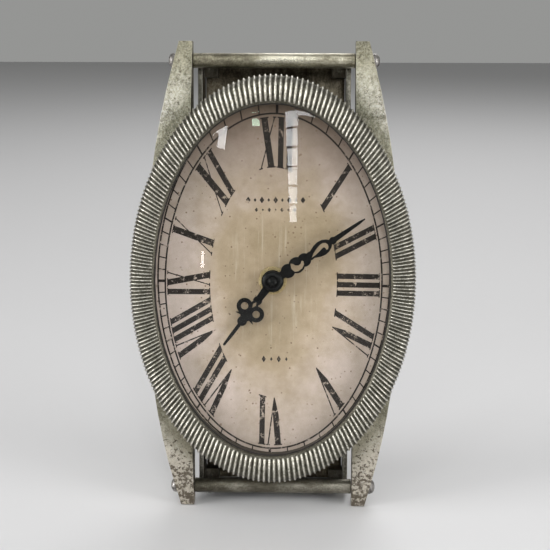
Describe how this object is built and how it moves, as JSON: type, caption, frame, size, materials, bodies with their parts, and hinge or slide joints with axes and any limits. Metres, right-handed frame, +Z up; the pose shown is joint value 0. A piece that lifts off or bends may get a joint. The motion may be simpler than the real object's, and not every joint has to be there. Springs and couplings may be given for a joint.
{
  "type": "oval wristwatch-head table clock",
  "caption": "Table clock shaped like an oval wristwatch head, with a ribbed bezel, domed glass, Roman dial, four lugs and two bars, leaning back on its lugs and rear tray.",
  "frame": {"origin": "centre of the bounding box's bottom, on the surface that the clock stands on", "axes": "+Z up, the dial faces -Y and leans back by 8 degrees, +X to the viewer's right"},
  "size_m": [0.18, 0.1034, 0.2977],
  "materials": {
    "bezel_cast": "ribbed casting, silvery crests worn bright, dark patina in the grooves",
    "gasket_rubber": "dull black",
    "glass": "polished, domed",
    "spacer_fibre": "dark brown, dull",
    "dial_print": "aged pinkish beige paper with worn black numerals",
    "dial_backing": "dull, tarnished",
    "case_cast": "rough casting, mottled silver and grey-green patina",
    "case_back_sheet": "dark, scratched",
    "bar_metal": "worn nickel over brass, streaky",
    "screw_metal": "dull, scratched",
    "tray_sheet": "dark patina, bright worn edges",
    "cover_sheet": "dark brown, scratched",
    "hand_black": "black, slightly worn",
    "washer_brass": "tarnished",
    "washer_rubber": "dull black",
    "movement_plastic": "matte black",
    "battery_wrap": "glossy copper and black wrap",
    "contact_nickel": "bright nickel",
    "gear_plastic": "cream acetal",
    "gear_brass": "bright",
    "rotor_magnet": "dark bonded magnet",
    "stator_iron": "soft iron",
    "coil_wire": "enamelled copper wire",
    "board": "green laminate"
  },
  "bodies": {
    "clock_body": {"bezel": "bezel_cast", "bezel_gasket": "gasket_rubber", "glass_dome": "glass", "spacer_ring": "spacer_fibre", "dial_paper": "dial_print", "dial_plate": "dial_backing", "case_body": "case_cast", "case_back": "case_back_sheet", "upper_bar": "bar_metal", "lower_bar": "bar_metal", "lug_screw_1": "screw_metal", "lug_screw_2": "screw_metal", "lug_screw_3": "screw_metal", "lug_screw_4": "screw_metal", "bezel_screw_1": "screw_metal", "bezel_screw_2": "screw_metal", "bezel_screw_3": "screw_metal", "bezel_screw_4": "screw_metal", "tray_screw_1": "screw_metal", "tray_screw_2": "screw_metal", "tray_screw_3": "screw_metal", "tray_screw_4": "screw_metal", "cover_screw_1": "screw_metal", "cover_screw_2": "screw_metal", "cover_screw_3": "screw_metal", "cover_screw_4": "screw_metal", "rear_tray": "tray_sheet", "rear_cover": "cover_sheet", "dial_washer": "washer_brass", "hex_nut": "washer_brass", "rubber_washer": "washer_rubber", "movement_case_front": "movement_plastic", "movement_case_rear": "movement_plastic", "train_bridge": "movement_plastic", "battery": "battery_wrap", "positive_contact": "contact_nickel", "negative_contact": "contact_nickel", "quartz_crystal": "contact_nickel", "coil_bobbin": "gear_plastic", "stator": "stator_iron", "coil_winding": "coil_wire", "circuit_board": "board"},
    "minute_arbor": {"minute_hand": "hand_black", "hand_nut": "hand_black", "minute_pinion": "gear_brass"},
    "hour_arbor": {"hour_hand": "hand_black", "hour_wheel": "gear_plastic"},
    "intermediate": {"minute_wheel": "gear_plastic"},
    "setting": {"setting_knob": "movement_plastic"},
    "motor": {"rotor": "rotor_magnet"},
    "fifth": {"fifth_wheel": "gear_plastic"},
    "fourth": {"fourth_wheel": "gear_brass"},
    "third": {"third_wheel": "gear_brass"},
    "centre": {"centre_wheel": "gear_brass"}
  },
  "joints": [
    {"name": "minute_hand_turn", "type": "hinge", "parent": "clock_body", "child": "minute_arbor", "pos_m": [0, -0.03511, 0.15292], "axis": [0, 0.9903, -0.1392], "continuous": true},
    {"name": "hour_hand_turn", "type": "hinge", "parent": "clock_body", "child": "hour_arbor", "pos_m": [0, -0.03511, 0.15292], "axis": [0, 0.9903, -0.1392], "continuous": true},
    {"name": "minute_wheel_turn", "type": "hinge", "parent": "clock_body", "child": "intermediate", "pos_m": [-0.00799, -0.03595, 0.14697], "axis": [0, 0.9903, -0.1392], "continuous": true},
    {"name": "setting_knob_turn", "type": "hinge", "parent": "clock_body", "child": "setting", "pos_m": [-0.01597, -0.03511, 0.15292], "axis": [0, 0.9903, -0.1392], "continuous": true},
    {"name": "rotor_turn", "type": "hinge", "parent": "clock_body", "child": "motor", "pos_m": [-0.01237, -0.03367, 0.16315], "axis": [0, 0.9903, -0.1392], "continuous": true},
    {"name": "fifth_wheel_turn", "type": "hinge", "parent": "clock_body", "child": "fifth", "pos_m": [-0.00692, -0.03411, 0.16003], "axis": [0, 0.9903, -0.1392], "continuous": true},
    {"name": "fourth_wheel_turn", "type": "hinge", "parent": "clock_body", "child": "fourth", "pos_m": [0.00053, -0.03515, 0.15265], "axis": [0, 0.9903, -0.1392], "continuous": true},
    {"name": "third_wheel_turn", "type": "hinge", "parent": "clock_body", "child": "third", "pos_m": [0.00962, -0.03579, 0.14807], "axis": [0, 0.9903, -0.1392], "continuous": true},
    {"name": "centre_wheel_turn", "type": "hinge", "parent": "clock_body", "child": "centre", "pos_m": [0, -0.03511, 0.15292], "axis": [0, 0.9903, -0.1392], "continuous": true}
  ],
  "couplings": [
    {"joint": "hour_hand_turn", "follows": "minute_hand_turn", "ratio": 0.083333},
    {"joint": "minute_wheel_turn", "follows": "minute_hand_turn", "ratio": -0.33333},
    {"joint": "setting_knob_turn", "follows": "minute_hand_turn", "ratio": 1},
    {"joint": "fifth_wheel_turn", "follows": "rotor_turn", "ratio": -0.2},
    {"joint": "fourth_wheel_turn", "follows": "rotor_turn", "ratio": 0.033333},
    {"joint": "third_wheel_turn", "follows": "rotor_turn", "ratio": -0.0044444},
    {"joint": "centre_wheel_turn", "follows": "rotor_turn", "ratio": 0.00055556}
  ]
}
